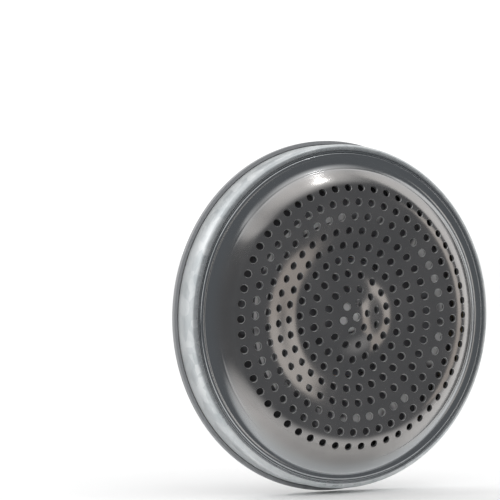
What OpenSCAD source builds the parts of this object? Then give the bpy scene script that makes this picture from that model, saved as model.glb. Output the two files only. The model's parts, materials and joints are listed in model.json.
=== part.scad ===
// Slim moving-coil tweeter with a perforated steel cap, 50 mm across.
// Every piece is drawn with the sound axis along +Z and then turned, so that the finished
// unit faces -Y with +Z up. The origin is on the axis, in the plane where the cap's skirt
// meets the flange, which is the shoulder that a panel seats on.

/* [Rim] */
// Diameter of the rear flange, the widest part of the unit
flange_d = 50; // [46:0.5:60]
// Thickness of the rear flange
flange_h = 0.9; // [0.7:0.1:2]
// Width of the seating shoulder in front of the flange
shoulder_w = 0.6; // [0.4:0.1:1.2]
// Bevel on the flange's rear edge
flange_bevel = 0.15; // [0.05:0.05:0.3]
// Depth of the rebate in the flange that locates the skirt
rebate_depth = 0.1; // [0.05:0.05:0.2]
// Slide clearance between the skirt and the side of its rebate
rebate_clearance = 0.06; // [0.05:0.01:0.15]

/* [Cap] */
// Height of the cap's skirt from the flange to the flat front rim
cap_h = 4.4; // [3.8:0.1:7]
// Thickness of the steel sheet
sheet_t = 0.4; // [0.3:0.05:0.6]
// Outside rounding where the skirt turns into the front rim
cap_edge_r = 0.7; // [0.5:0.05:1]
// Distance from the skirt in to the middle of the rim groove
groove_inset = 1.2; // [1:0.05:1.5]
// Width of the rim groove
groove_w = 0.6; // [0.3:0.05:0.8]
// Depth of the rim groove
groove_depth = 0.25; // [0.1:0.05:0.35]
// Distance from the skirt in to the foot of the raised middle
foot_inset = 2.1; // [1.9:0.05:3]
// Radius of the low ring around the centre dome
valley_r = 7.6; // [6:0.1:9]
// Radius of the high ring
crest_r = 15.4; // [13:0.1:17]
// Height of the centre dome above the rim
dome_rise = 3.1; // [2:0.1:4]
// Height of the low ring above the rim
valley_rise = 1.2; // [0.8:0.1:2]
// Height of the high ring above the rim
crest_rise = 2.9; // [2:0.1:4]
// How far out the outer shoulder stays high before it falls
shoulder_fullness = 1.7; // [1.2:0.1:2.2]

/* [Sound holes] */
// Number of rings of holes around the centre hole
hole_rings = 9; // [5:1:9]
// Distance from one ring to the next
hole_pitch = 2.03; // [1.7:0.01:2.1]
// Diameter of each hole
hole_d = 1.0; // [0.7:0.05:1.2]
// Flat land left around each hole
land_margin = 0.1; // [0.05:0.05:0.2]
// Angle of the first hole of every ring
first_hole_angle = 13.4; // [0:0.1:60]

/* [Diaphragm] */
// Thickness of the diaphragm film
film_t = 0.12; // [0.1:0.01:0.2]
// Furthest that the coil travels each way
stroke = 0.4; // [0.1:0.05:0.5]
// Gap left between the cap and the film at the end of that travel
film_clearance = 0.9; // [0.6:0.05:1.1]
// Width of the film's flat clamped edge
clamp_w = 1.7; // [1:0.1:2]
// Thickness of the glue under the film's edge
film_glue_t = 0.05; // [0.05:0.01:0.1]
// Thickness of the ring that clamps the film
clamp_ring_t = 0.5; // [0.3:0.05:0.6]
// Thickness of the foam gasket between the clamp ring and the cap
gasket_t = 0.5; // [0.3:0.05:0.7]
// Slit between the dome's edge and the surround
dome_slit = 0.1; // [0.05:0.01:0.2]

/* [Voice coil] */
// Gap between the winding and the yoke around it
coil_gap = 0.7; // [0.4:0.05:0.9]
// Wall of the coil former
former_t = 0.1; // [0.08:0.01:0.15]
// Thickness of the copper winding
winding_t = 0.3; // [0.2:0.02:0.4]
// Height of the copper winding
winding_h = 2.4; // [1.6:0.1:3]
// Length of former left bare below the winding
former_tail = 0.2; // [0.1:0.05:0.3]
// Thickness of each lead wire
lead_d = 0.25; // [0.2:0.01:0.3]

/* [Magnet system] */
// Outside diameter of the steel yoke cup
yoke_d = 22; // [21:0.1:24]
// Wall of the yoke cup
yoke_wall = 1.7; // [1.2:0.05:2]
// Floor of the yoke cup
yoke_floor = 1.6; // [1.2:0.1:2]
// How far the yoke stands out behind the flange
yoke_stands_out = 4; // [3:0.1:5]
// How far the yoke's open edge reaches in front of the shoulder
yoke_rim_z = 2.2; // [1.8:0.1:2.4]
// Rounding of the yoke's rear edge
yoke_round = 1.85; // [1:0.05:2.2]
// Thickness of the front plate
plate_t = 1.2; // [0.8:0.1:1.6]
// Gap between the front plate and the former
plate_gap = 0.3; // [0.2:0.05:0.4]
// How far the front plate lies below the yoke's open edge
plate_sink = 0.1; // [0.05:0.05:0.3]
// How much smaller the magnet's radius is than the plate's
magnet_inset = 0.6; // [0.4:0.1:1.5]
// Thickness of the glue under the magnet
magnet_glue_t = 0.1; // [0.05:0.01:0.15]
// Diameter of the vent through the magnet system
vent_d = 4; // [2:0.1:4.5]
// Diameter of the felt disc over the vent
felt_d = 11.7; // [8:0.1:14]
// Thickness of the felt disc
felt_t = 0.3; // [0.2:0.05:0.5]

/* [Frame] */
// Slide clearance between the frame and the inside of the cap
cap_clearance = 0.05; // [0.03:0.01:0.1]
// Width of the frame's upright wall inside the skirt
rim_wall = 1.45; // [1.3:0.05:1.8]
// Thickness of the web that carries the magnet
web_t = 0.9; // [0.7:0.05:1.2]
// Height of the web's rear face above the shoulder plane
web_z = 0.45; // [0.2:0.05:0.6]
// Wall of the hub around the yoke
hub_wall = 1.2; // [0.8:0.1:1.6]
// Width of the shelf that carries the film's edge
shelf_w = 2.1; // [1.8:0.1:2.4]
// Distance from the flange's edge in to the outer rear step line
step_inset = 6.05; // [5.7:0.05:6.3]
// Width between the two rear step lines
step_w = 1.25; // [0.8:0.05:1.6]
// Depth of the shallow step between the two lines
step_depth = 0.15; // [0.1:0.05:0.3]
// Width of the bevel that runs down to the web
bevel_w = 1.5; // [1:0.1:1.7]
// Number of vent windows in the web
window_count = 6; // [4:1:8]
// Widest radial width of a vent window
window_w = 2.2; // [1:0.1:2.6]
// Least land left on either side of a vent window
window_land = 0.5; // [0.3:0.05:0.6]
// Angle that a vent window spans
window_angle = 38; // [20:1:40]
// Depth of the moulded pockets in the rear face
pocket_depth = 0.4; // [0.2:0.05:0.6]
// Distance from the flange's edge in to the pockets
pocket_inset = 2.4; // [2:0.1:3]
// Width of the top pocket
top_pocket_w = 8; // [5:0.5:9]
// Radial height of the top pocket
top_pocket_h = 1.8; // [1:0.1:2.2]
// Width of the two side pockets
side_pocket_w = 11.5; // [7:0.5:13]
// Radial height of the two side pockets
side_pocket_h = 2.4; // [1:0.1:2.6]
// How much narrower each pocket is on its inner side
pocket_taper = 2.5; // [1:0.1:3.5]
// Depth of the round marks left by the mould
mark_depth = 0.05; // [0.02:0.01:0.1]

/* [Damping paper] */
// Distance from the foot of the bevel in to the paper's outer edge
paper_inset = 0.45; // [0.2:0.05:0.6]
// Gap between the yoke and the paper's inner edge
paper_gap = 0.3; // [0.2:0.05:0.5]
// Thickness of the damping paper
paper_t = 0.25; // [0.15:0.05:0.3]
// Radius of the small notch in the paper's outer edge
notch_r = 0.5; // [0.2:0.1:0.8]

/* [Terminals] */
// Radial width of the terminal board
board_w = 3.1; // [2.6:0.1:3.4]
// Distance from the flange's edge in to the board
board_inset = 1.1; // [0.9:0.05:1.4]
// Angle that the board spans
board_angle = 20.6; // [16:0.1:26]
// Thickness of the board
board_t = 0.8; // [0.5:0.05:0.9]
// Thickness of the tape under the board
tape_t = 0.1; // [0.05:0.01:0.15]
// Depth of the recess that holds the board
board_recess = 1.2; // [1.1:0.05:1.3]
// Clearance around the board in its recess
board_clearance = 0.15; // [0.1:0.05:0.25]
// Width of the slot that the lead wires pass through
lead_slot_w = 1.4; // [1.2:0.1:1.6]
// Distance between the two solder pads
pad_pitch = 4.1; // [3.6:0.1:5]
// Diameter of a solder pad
pad_d = 2.3; // [1.8:0.1:2.5]
// Thickness of a solder pad
pad_t = 0.05; // [0.03:0.01:0.1]
// Diameter of a solder joint
solder_d = 1.9; // [1.4:0.1:2.2]
// Height of a solder joint
solder_h = 0.75; // [0.4:0.05:1]

/* [Hidden] */
$fn = 96;
hole_sides = 20;
wire_sides = 8;
small_sides = 32;
over = 1;

// Radii that follow from the driving sizes
flange_r = flange_d / 2;
skirt_r = flange_r - shoulder_w;
skirt_in_r = skirt_r - sheet_t;
rebate_r = skirt_r + rebate_clearance;
foot_r = skirt_r - foot_inset;
groove_r = skirt_r - groove_inset;
wall_r = skirt_in_r - cap_clearance;
wall_in_r = wall_r - rim_wall;
shelf_in_r = wall_in_r - shelf_w;
ring_gap = 0.1;
clamp_out_r = wall_in_r - ring_gap;
clamp_in_r = clamp_out_r - clamp_w;
yoke_r = yoke_d / 2;
gap_r = yoke_r - yoke_wall;
former_r = gap_r - coil_gap - winding_t;
former_in_r = former_r - former_t;
plate_r = former_in_r - plate_gap;
magnet_r = plate_r - magnet_inset;
hub_r = yoke_r + hub_wall;
dome_edge_r = former_r + former_t;
surround_in_r = dome_edge_r + dome_slit;
outer_step_r = flange_r - step_inset;
inner_step_r = outer_step_r - step_w;
web_out_r = inner_step_r - bevel_w;
paper_r = web_out_r - paper_inset;
window_r = (hub_r + paper_r) / 2;
window_used_w = min(window_w, paper_r - hub_r - 2 * window_land);
shelf_flare = 0.6;

// Heights above the shoulder plane
flange_z = -flange_h;
skirt_foot_z = -rebate_depth;
cap_in_z = cap_h - sheet_t;
wall_z = cap_in_z - groove_depth - cap_clearance;
film_edge_z = cap_in_z - gasket_t - clamp_ring_t;
shelf_z = film_edge_z - film_t - film_glue_t;
web_front_z = web_z + web_t;
yoke_rear_z = flange_z - yoke_stands_out;
magnet_seat_z = yoke_rear_z + yoke_floor;
magnet_z = magnet_seat_z + magnet_glue_t;
plate_z = yoke_rim_z - plate_sink - plate_t;
winding_z = plate_z + plate_t / 2 - winding_h / 2;
board_floor_z = flange_z + board_recess;
board_z = board_floor_z - tape_t;
board_rear_z = board_z - board_t;

// Terminal board and its parts lie at the bottom of the unit
board_out_r = flange_r - board_inset;
board_in_r = board_out_r - board_w;
pad_y = -(board_in_r + board_out_r) / 2;
recess_angle = board_angle + 2 * asin(board_clearance / board_in_r);
slot_centre_y = board_in_r + 0.75;
slot_outer_y = slot_centre_y + lead_slot_w / 2;
slot_inner_y = shelf_in_r - 1.6;

// Each round mould mark: angle around the axis, inset from the flange's edge, diameter
mould_marks = [[71, 3.2, 3.9], [331, 3.7, 3.9], [156, 2.8, 3.9], [288, 3.5, 3.4]];
notch_angle = 53;

// Height of the cap's outer face above the rim, at distance r from the axis
function swell(share) = (1 - cos(180 * share)) / 2;
function rise(r) =
    r < valley_r ? dome_rise + (valley_rise - dome_rise) * swell(r / valley_r)
    : r < crest_r ? valley_rise + (crest_rise - valley_rise) * swell((r - valley_r) / (crest_r - valley_r))
    : r < foot_r ? crest_rise * (1 - swell(pow((r - crest_r) / (foot_r - crest_r), shoulder_fullness)))
    : 0;

// The film follows the cap at the air gap, then falls to its clamped edge
film_under_cap = cap_in_z - film_clearance - stroke;
film_crest_z = film_under_cap + crest_rise;
function film_z(r) =
    r < crest_r ? film_under_cap + rise(r)
    : r < clamp_in_r ? film_crest_z
        + (film_edge_z - film_crest_z) * swell((r - crest_r) / (clamp_in_r - crest_r))
    : film_edge_z;

// Outline points of a curved sheet between two radii, thickness taken off below
function steps(from, to, count) = [for (i = [0 : count]) from + (to - from) * i / count];
function sheet_outline(radii, heights, thickness) = concat(
    [for (i = [0 : len(radii) - 1]) [radii[i], heights[i]]],
    [for (i = [len(radii) - 1 : -1 : 0]) [radii[i], heights[i] - thickness]]);

// Points of an arc in the outline plane, from one angle to another
function arc(centre_r, centre_z, radius, from, to, count) =
    [for (a = steps(from, to, count)) [centre_r + radius * cos(a), centre_z + radius * sin(a)]];

// Turns a piece from the sound axis along +Z to the unit's own frame
module facing() {
    rotate([90, 0, 0]) children();
}

module ring(inner_r, outer_r, low_z, high_z) {
    translate([0, 0, low_z]) difference() {
        cylinder(r = outer_r, h = high_z - low_z);
        translate([0, 0, -over]) cylinder(r = inner_r, h = high_z - low_z + 2 * over);
    }
}

// A flat sector of a ring around the bottom of the unit
module sector(inner_r, outer_r, angle, low_z, high_z) {
    translate([0, 0, low_z])
        rotate([0, 0, -90 - angle / 2])
            rotate_extrude(angle = angle)
                translate([inner_r, 0]) square([outer_r - inner_r, high_z - low_z]);
}

// The raised middle is drawn as one flat land for each ring of holes, with a cone between
// lands, so that every hole goes square through a flat plate
land = hole_d / 2 + land_margin;
outermost_r = hole_rings * hole_pitch + land;
function land_z(k) = cap_h + rise(k * hole_pitch);

module land_plate(k) {
    translate([0, 0, land_z(k) - sheet_t]) linear_extrude(sheet_t) difference() {
        circle(r = k * hole_pitch + land);
        if (k > 0) circle(r = k * hole_pitch - land);
        for (i = [0 : max(6 * k, 1) - 1])
            rotate([0, 0, first_hole_angle + 60 * i / max(k, 1)])
                translate([k * hole_pitch, 0]) circle(d = hole_d, $fn = hole_sides);
    }
}

module cone_between(k) {
    inner_r = k * hole_pitch + land;
    outer_r = (k + 1) * hole_pitch - land;
    rotate_extrude() polygon([[inner_r, land_z(k)], [outer_r, land_z(k + 1)],
        [outer_r, land_z(k + 1) - sheet_t], [inner_r, land_z(k) - sheet_t]]);
}

module cap_rim() {
    falling = [for (r = steps(outermost_r, foot_r, 6)) if (r > outermost_r) [r, cap_h + rise(r)]];
    groove = [[groove_r - groove_w / 2, cap_h], [groove_r, cap_h - groove_depth],
        [groove_r + groove_w / 2, cap_h]];
    top = concat([[outermost_r, land_z(hole_rings)]], falling, groove);
    under = [for (i = [len(top) - 1 : -1 : 0]) [top[i][0], top[i][1] - sheet_t]];
    inner_round = cap_edge_r - sheet_t;
    rotate_extrude() polygon(concat(top,
        arc(skirt_r - cap_edge_r, cap_h - cap_edge_r, cap_edge_r, 90, 0, 6),
        [[skirt_r, skirt_foot_z], [skirt_in_r, skirt_foot_z]],
        arc(skirt_in_r - inner_round, cap_in_z - inner_round, inner_round, 0, 90, 3),
        under));
}

module grille_cap() {
    color("dimgray") facing() {
        for (k = [0 : hole_rings]) land_plate(k);
        for (k = [0 : hole_rings - 1]) cone_between(k);
        cap_rim();
    }
}

module cap_gasket() {
    color("darkslategray") facing() ring(clamp_in_r, clamp_out_r, film_edge_z + clamp_ring_t, cap_in_z);
}

module clamp_ring() {
    color("goldenrod") facing() ring(clamp_in_r, clamp_out_r, film_edge_z, film_edge_z + clamp_ring_t);
}

module surround_glue() {
    color("gold") facing() ring(clamp_in_r, clamp_out_r, shelf_z, film_edge_z - film_t);
}

module diaphragm_surround() {
    rolling = [for (r = steps(crest_r, clamp_in_r, 9)) if (r > crest_r) r];
    radii = concat(steps(surround_in_r, crest_r, 10), rolling, [clamp_out_r]);
    color("lightgray") facing()
        rotate_extrude() polygon(sheet_outline(radii, [for (r = radii) film_z(r)], film_t));
}

module diaphragm_dome() {
    radii = steps(0, dome_edge_r, 10);
    color("silver") facing()
        rotate_extrude() polygon(sheet_outline(radii, [for (r = radii) film_z(r)], film_t));
}

module coil_former() {
    color("peru") facing()
        ring(former_in_r, former_r, winding_z - former_tail, film_z(former_r) - film_t);
}

module voice_coil() {
    color("chocolate") facing() ring(former_r, former_r + winding_t, winding_z, winding_z + winding_h);
}

// Route of one lead: under the film to the slot, down to the board and across to its pad.
// Side is 1 or -1, and y is the distance from the axis towards the bottom of the unit.
lead_x = 0.35;
lead_bend = 0.35;
lead_drop = 0.4;
lead_start_y = former_r + winding_t + lead_bend;
lead_end_x = (pad_pitch - solder_d) / 2 - 0.05;
function under_film(y) = [lead_x, -y, film_z(y) - film_t - lead_drop];
function lead_route(side) = [
    for (p = concat(
        [for (y = steps(lead_start_y, crest_r, 6)) under_film(y)],
        [for (y = steps(crest_r + 1, clamp_in_r - 1.2, 4)) under_film(y)],
        [[lead_x, lead_bend - slot_centre_y, shelf_z - 2 * lead_bend],
            [lead_x, -slot_centre_y, shelf_z - 3.5 * lead_bend],
            [lead_x, -slot_centre_y, board_z + lead_bend],
            [lead_x, -slot_centre_y, board_rear_z],
            [lead_x + 0.15, -slot_centre_y, board_rear_z - lead_bend],
            [lead_x + 0.4, -slot_centre_y - 0.2, board_rear_z - 1.2 * lead_bend],
            [lead_end_x, pad_y, board_rear_z - lead_bend]]))
    [side * p[0], p[1], p[2]]];

// Sweeps a round wire along a route. The skew direction is one that no stretch runs along.
skew = [0.94, 0.31, 0.13];
function unit(v) = v / norm(v);
function heading(route, i) = unit(route[min(i + 1, len(route) - 1)] - route[max(i - 1, 0)]);
function wire_ring(centre, along, radius, sides) =
    let (across = unit(cross(along, skew)), up = cross(along, across))
    [for (i = [0 : sides - 1])
        centre + radius * (cos(360 * i / sides) * across + sin(360 * i / sides) * up)];

module wire(route, radius, sides) {
    last = len(route) - 1;
    points = [for (i = [0 : last], p = wire_ring(route[i], heading(route, i), radius, sides)) p];
    walls = [for (i = [0 : last - 1], j = [0 : sides - 1]) let (k = (j + 1) % sides)
        [i * sides + j, (i + 1) * sides + j, (i + 1) * sides + k, i * sides + k]];
    polyhedron(points = points, faces = concat(walls,
        [[for (j = [0 : sides - 1]) j]], [[for (j = [sides - 1 : -1 : 0]) last * sides + j]]));
}

module coil_leads() {
    color("orange") facing()
        for (side = [-1, 1]) wire(lead_route(side), lead_d / 2, wire_sides);
}

module top_plate() {
    color("silver") facing() ring(vent_d / 2, plate_r, plate_z, plate_z + plate_t);
}

module magnet() {
    color("gray") facing() ring(vent_d / 2, magnet_r, magnet_z, plate_z);
}

module magnet_glue() {
    color("khaki") facing() ring(vent_d / 2, magnet_r, magnet_seat_z, magnet_z);
}

module yoke_cup() {
    color("slategray") facing() rotate_extrude() polygon(concat(
        [[vent_d / 2, magnet_seat_z], [vent_d / 2, yoke_rear_z]],
        arc(yoke_r - yoke_round, yoke_rear_z + yoke_round, yoke_round, 270, 360, 8),
        [[yoke_r, yoke_rim_z], [gap_r, yoke_rim_z], [gap_r, magnet_seat_z]]));
}

// Fillet of glue between the yoke's side and the rear of the web
module yoke_glue() {
    climb = 2 * paper_t;
    color("black") facing() rotate_extrude() polygon([[yoke_r, web_z], [yoke_r, web_z - climb],
        [yoke_r + paper_gap, web_z - paper_t], [yoke_r + paper_gap, web_z]]);
}

module vent_felt() {
    color("gainsboro") facing()
        translate([0, 0, yoke_rear_z - felt_t]) cylinder(d = felt_d, h = felt_t);
}

// The paper ring has a small notch in its outer edge
module damping_paper() {
    color("darkgray") facing() difference() {
        ring(yoke_r + paper_gap, paper_r, web_z - paper_t, web_z);
        rotate([0, 0, notch_angle])
            translate([paper_r, 0, web_z - paper_t - over])
                cylinder(r = notch_r, h = paper_t + 2 * over, $fn = small_sides);
    }
}

// Outline of the moulded frame, turned around the axis
module frame_body() {
    rotate_extrude() polygon([
        [yoke_r, web_z], [web_out_r, web_z], [inner_step_r, flange_z + step_depth],
        [outer_step_r, flange_z + step_depth], [outer_step_r, flange_z],
        [flange_r - flange_bevel, flange_z], [flange_r, flange_z + flange_bevel], [flange_r, 0],
        [rebate_r, 0], [rebate_r, skirt_foot_z], [wall_r, skirt_foot_z], [wall_r, wall_z],
        [wall_in_r, wall_z], [wall_in_r, shelf_z],
        [shelf_in_r, shelf_z], [shelf_in_r - shelf_flare, web_front_z], [hub_r, web_front_z],
        [hub_r, yoke_rim_z], [yoke_r, yoke_rim_z]]);
}

module vent_windows() {
    for (i = [0 : window_count - 1])
        rotate([0, 0, 360 * (i + 0.5) / window_count - window_angle / 2 + 90])
            rotate_extrude(angle = window_angle)
                translate([window_r - window_used_w / 2, web_z - over])
                    square([window_used_w, web_t + 2 * over]);
}

// A pocket in the rear face with its wide side outward, at one angle around the axis
module rear_pocket(angle, width, radial_h) {
    outer_r = flange_r - pocket_inset;
    outer = width / 2;
    inner = (width - pocket_taper) / 2;
    rotate([0, 0, angle]) translate([0, 0, flange_z - over])
        linear_extrude(over + pocket_depth)
            polygon([[outer_r, -outer], [outer_r, outer],
                [outer_r - radial_h, inner], [outer_r - radial_h, -inner]]);
}

// A shallow round mark left by the mould
module round_mark(angle, inset, diameter) {
    rotate([0, 0, angle]) translate([flange_r - inset, 0, flange_z - over])
        cylinder(d = diameter, h = over + mark_depth, $fn = small_sides);
}

// The way of the lead wires from the film's space to the board, from one height to another
module lead_slot(low_z, high_z) {
    translate([-lead_slot_w / 2, -slot_outer_y, low_z])
        cube([lead_slot_w, slot_outer_y - slot_inner_y, high_z - low_z]);
}

module frame() {
    color("#2b2d30") facing() difference() {
        frame_body();
        vent_windows();
        rear_pocket(90, top_pocket_w, top_pocket_h);
        for (angle = [0, 180]) rear_pocket(angle, side_pocket_w, side_pocket_h);
        for (mark = mould_marks) round_mark(mark[0], mark[1], mark[2]);
        sector(board_in_r - board_clearance, board_out_r + board_clearance,
            recess_angle, flange_z - over, board_floor_z);
        lead_slot(board_floor_z, shelf_z + over);
    }
}

// A printed board with a notch in its inner edge for the leads
module terminal_board() {
    color("darkgreen") facing() difference() {
        sector(board_in_r, board_out_r, board_angle, board_rear_z, board_z);
        lead_slot(board_rear_z - over, board_z + over);
    }
}

module board_tape() {
    color("beige") facing() difference() {
        sector(board_in_r, board_out_r, board_angle, board_z, board_floor_z);
        lead_slot(board_z - over, board_floor_z + over);
    }
}

module at_pads() {
    for (side = [-1, 1]) translate([side * pad_pitch / 2, pad_y, 0]) children();
}

module solder_pads() {
    color("goldenrod") facing() at_pads()
        translate([0, 0, board_rear_z - pad_t]) cylinder(d = pad_d, h = pad_t, $fn = small_sides);
}

// Each joint is a domed drop of solder
module solder_joints() {
    color("lightgray") facing() at_pads()
        translate([0, 0, board_rear_z - pad_t]) mirror([0, 0, 1])
            rotate_extrude($fn = small_sides) polygon(concat([[0, 0]],
                [for (a = steps(0, 90, 6)) [solder_d / 2 * cos(a), solder_h * sin(a)]]));
}

grille_cap();
cap_gasket();
clamp_ring();
surround_glue();
diaphragm_surround();
diaphragm_dome();
coil_former();
voice_coil();
coil_leads();
top_plate();
magnet();
magnet_glue();
yoke_cup();
yoke_glue();
vent_felt();
damping_paper();
frame();
terminal_board();
board_tape();
solder_pads();
solder_joints();
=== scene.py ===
import json
import math

import bpy
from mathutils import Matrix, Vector

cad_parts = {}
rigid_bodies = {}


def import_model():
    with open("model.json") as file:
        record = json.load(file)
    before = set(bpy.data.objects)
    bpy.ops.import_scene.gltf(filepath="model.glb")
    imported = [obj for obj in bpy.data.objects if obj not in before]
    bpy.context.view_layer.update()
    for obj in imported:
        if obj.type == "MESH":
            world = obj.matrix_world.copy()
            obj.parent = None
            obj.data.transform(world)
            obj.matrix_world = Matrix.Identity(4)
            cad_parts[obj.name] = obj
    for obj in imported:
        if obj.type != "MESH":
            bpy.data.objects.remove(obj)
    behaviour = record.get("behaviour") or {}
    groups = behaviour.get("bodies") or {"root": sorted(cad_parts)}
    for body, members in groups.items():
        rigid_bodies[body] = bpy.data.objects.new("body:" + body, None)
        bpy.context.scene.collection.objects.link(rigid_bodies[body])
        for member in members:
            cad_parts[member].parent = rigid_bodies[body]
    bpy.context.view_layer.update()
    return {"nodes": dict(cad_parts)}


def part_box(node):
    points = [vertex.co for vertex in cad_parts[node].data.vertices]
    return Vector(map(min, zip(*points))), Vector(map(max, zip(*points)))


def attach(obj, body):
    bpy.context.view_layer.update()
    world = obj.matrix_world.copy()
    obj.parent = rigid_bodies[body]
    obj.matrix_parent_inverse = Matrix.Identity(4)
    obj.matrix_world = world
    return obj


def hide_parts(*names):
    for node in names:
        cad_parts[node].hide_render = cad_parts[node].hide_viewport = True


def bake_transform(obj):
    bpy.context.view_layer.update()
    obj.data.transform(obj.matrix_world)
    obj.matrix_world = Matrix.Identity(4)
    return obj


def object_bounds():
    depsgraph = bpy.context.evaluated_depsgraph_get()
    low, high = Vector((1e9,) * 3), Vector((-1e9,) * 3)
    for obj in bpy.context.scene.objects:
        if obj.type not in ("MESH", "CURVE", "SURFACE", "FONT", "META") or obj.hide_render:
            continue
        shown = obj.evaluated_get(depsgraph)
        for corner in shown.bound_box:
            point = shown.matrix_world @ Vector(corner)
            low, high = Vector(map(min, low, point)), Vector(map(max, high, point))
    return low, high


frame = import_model()
print("frame loaded")

mm = 0.001
turnSides = 192  # how many faces a turned piece has around its axis


# Every piece is turned or cut with the sound axis along +Z, then faced to -Y.
def pick(*objects):
    if bpy.context.mode != "OBJECT":
        bpy.ops.object.mode_set(mode="OBJECT")
    bpy.ops.object.select_all(action="DESELECT")
    for obj in objects:
        obj.select_set(True)
    if objects:
        bpy.context.view_layer.objects.active = objects[0]


def outlineLoop(name, points, upright=True):  # a ring of edges laid on an outline, in mm
    pick()
    bpy.ops.mesh.primitive_circle_add(vertices=len(points), radius=mm)
    loop = bpy.context.object
    loop.name = name
    for vertex, (a, b) in zip(loop.data.vertices, points):
        vertex.co = (a * mm, 0, b * mm) if upright else (a * mm, b * mm, 0)
    return loop


def tidyMesh(piece, smoothAngle=38):
    pick(piece)
    bpy.ops.object.mode_set(mode="EDIT")
    bpy.ops.mesh.select_all(action="SELECT")
    bpy.ops.mesh.remove_doubles(threshold=0.0008 * mm)
    bpy.ops.mesh.dissolve_degenerate(threshold=0.0004 * mm)
    bpy.ops.mesh.delete_loose(use_verts=True, use_edges=True, use_faces=False)
    bpy.ops.mesh.select_all(action="SELECT")
    bpy.ops.mesh.normals_make_consistent(inside=False)
    bpy.ops.object.mode_set(mode="OBJECT")
    bpy.ops.object.shade_smooth_by_angle(angle=math.radians(smoothAngle))


def turnPiece(name, points, sides=turnSides, sweep=360, start=0):
    piece = outlineLoop(name, points)
    pick(piece)
    bpy.ops.object.mode_set(mode="EDIT")
    bpy.ops.mesh.select_all(action="SELECT")
    if sweep < 360:
        bpy.ops.mesh.edge_face_add()
        bpy.ops.mesh.select_all(action="SELECT")
        bpy.ops.transform.rotate(value=-math.radians(start), orient_axis="Z", center_override=(0, 0, 0))
    bpy.ops.mesh.spin(steps=sides, angle=-math.radians(sweep), center=(0, 0, 0), axis=(0, 0, 1))
    tidyMesh(piece)
    return piece


def cutAway(piece, cutters):  # takes the cutters out of the piece in one go
    pick(*cutters)
    if len(cutters) > 1:
        bpy.ops.object.join()
    cutter = bpy.context.object
    pick(piece)
    bpy.ops.object.modifier_add(type="BOOLEAN")
    hole = piece.modifiers[-1]
    hole.operation, hole.solver, hole.object = "DIFFERENCE", "EXACT", cutter
    bpy.ops.object.modifier_apply(modifier=hole.name)
    pick(cutter)
    bpy.ops.object.delete()
    tidyMesh(piece)


def pushed(loop, low, high, chamfer=0):  # a flat outline made a plate, with a softened edge if asked
    pick(loop)
    bpy.ops.object.mode_set(mode="EDIT")
    bpy.ops.mesh.select_all(action="SELECT")
    bpy.ops.mesh.edge_face_add()
    bpy.ops.transform.translate(value=(0, 0, high * mm))
    bpy.ops.mesh.extrude_region_move(TRANSFORM_OT_translate={"value": (0, 0, (low - high) * mm)})
    bpy.ops.object.mode_set(mode="OBJECT")
    tidyMesh(loop)
    if chamfer:
        pick(loop)
        bpy.ops.object.modifier_add(type="BEVEL")
        bevel = loop.modifiers[-1]
        bevel.width, bevel.segments = chamfer * mm, 2
        bevel.limit_method, bevel.angle_limit = "ANGLE", math.radians(50)
        bpy.ops.object.modifier_apply(modifier=bevel.name)
        tidyMesh(loop)
    return loop


def faceFront(piece):
    pick(piece)
    piece.rotation_euler = (math.pi / 2, 0, 0)
    bpy.ops.object.transform_apply(location=True, rotation=True, scale=True)


def softened(points, radius, count=3):  # an outline with its corners rounded off
    result = []
    total = len(points)
    for i, corner in enumerate(points):
        here = Vector(corner)
        back, ahead = Vector(points[i - 1]) - here, Vector(points[(i + 1) % total]) - here
        if back.length < 1e-6 or ahead.length < 1e-6 or here.x < 1e-6:
            result.append(tuple(here))
            continue
        turn = math.degrees(back.angle(-ahead, 0))
        if turn < 20:
            result.append(tuple(here))
            continue
        reach = min(radius, back.length * 0.45, ahead.length * 0.45)
        first, last = here + back.normalized() * reach, here + ahead.normalized() * reach
        for k in range(count + 1):
            t = k / count
            point = first * (1 - t) ** 2 + here * (2 * t * (1 - t)) + last * t ** 2
            result.append(tuple(point))
    return result


def steps(low, high, count):
    return [low + (high - low) * i / count for i in range(count + 1)]


def swell(share):
    return (1 - math.cos(math.pi * share)) / 2


def wave(offset):  # 1 in the middle, 0 from an offset of 1 on either side
    return (1 + math.cos(math.pi * offset)) / 2 if abs(offset) < 1 else 0.0


def dress(piece, node, body, finish):  # the piece takes the place of a CAD node
    piece.data.materials.clear()
    piece.data.materials.append(finish)
    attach(piece, body)
    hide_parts(node)


class Wire:  # a socket that can be reckoned with like a number
    def __init__(self, finish, socket):
        self.finish, self.socket = finish, socket

    def work(self, operation, *terms):
        return self.finish.add("ShaderNodeMath", {"operation": operation}, dict(enumerate(terms)))

    def __add__(self, other): return self.work("ADD", self, other)
    def __radd__(self, other): return self.work("ADD", other, self)
    def __sub__(self, other): return self.work("SUBTRACT", self, other)
    def __rsub__(self, other): return self.work("SUBTRACT", other, self)
    def __mul__(self, other): return self.work("MULTIPLY", self, other)
    def __rmul__(self, other): return self.work("MULTIPLY", other, self)
    def __truediv__(self, other): return self.work("DIVIDE", self, other)
    def __rtruediv__(self, other): return self.work("DIVIDE", other, self)
    def __pow__(self, other): return self.work("POWER", self, other)
    def __neg__(self): return self.work("MULTIPLY", self, -1.0)

    def ramp(self, low, high):  # 0 below low, 1 above high, smooth between
        return self.finish.add("ShaderNodeMapRange", {"interpolation_type": "SMOOTHSTEP"},
                               {"Value": self, "From Min": low, "From Max": high})


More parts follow.
